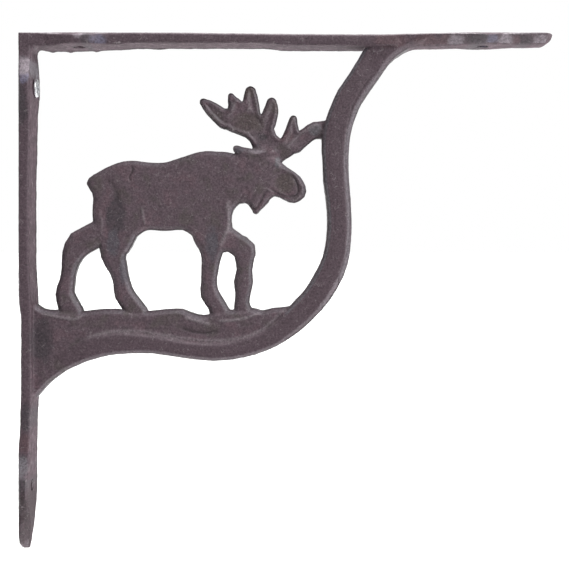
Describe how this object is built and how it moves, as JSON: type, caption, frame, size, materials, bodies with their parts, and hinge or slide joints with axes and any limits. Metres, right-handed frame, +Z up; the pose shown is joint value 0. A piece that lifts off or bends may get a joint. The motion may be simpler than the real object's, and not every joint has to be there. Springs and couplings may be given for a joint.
{
  "type": "cast iron shelf bracket",
  "caption": "Ornate cast iron shelf bracket: a wall strap and a shelf strap at a right angle, an S-shaped brace and a moose standing inside the frame on rough ground.",
  "frame": {"origin": "on the wall strap's back face, in the casting's middle plane, halfway between the two wall holes", "axes": "+X out from the wall along the shelf strap, +Z up the wall, Y across the straps"},
  "size_m": [0.2477, 0.025, 0.2398],
  "materials": {
    "painted_iron": "sand-cast iron with a thin mauve-brown paint, satin to matt",
    "zinc_screw": "bright zinc plate, slightly blotchy"
  },
  "bodies": {
    "root": {"bracket_casting": "painted_iron", "wall_screw": "zinc_screw"}
  },
  "joints": []
}
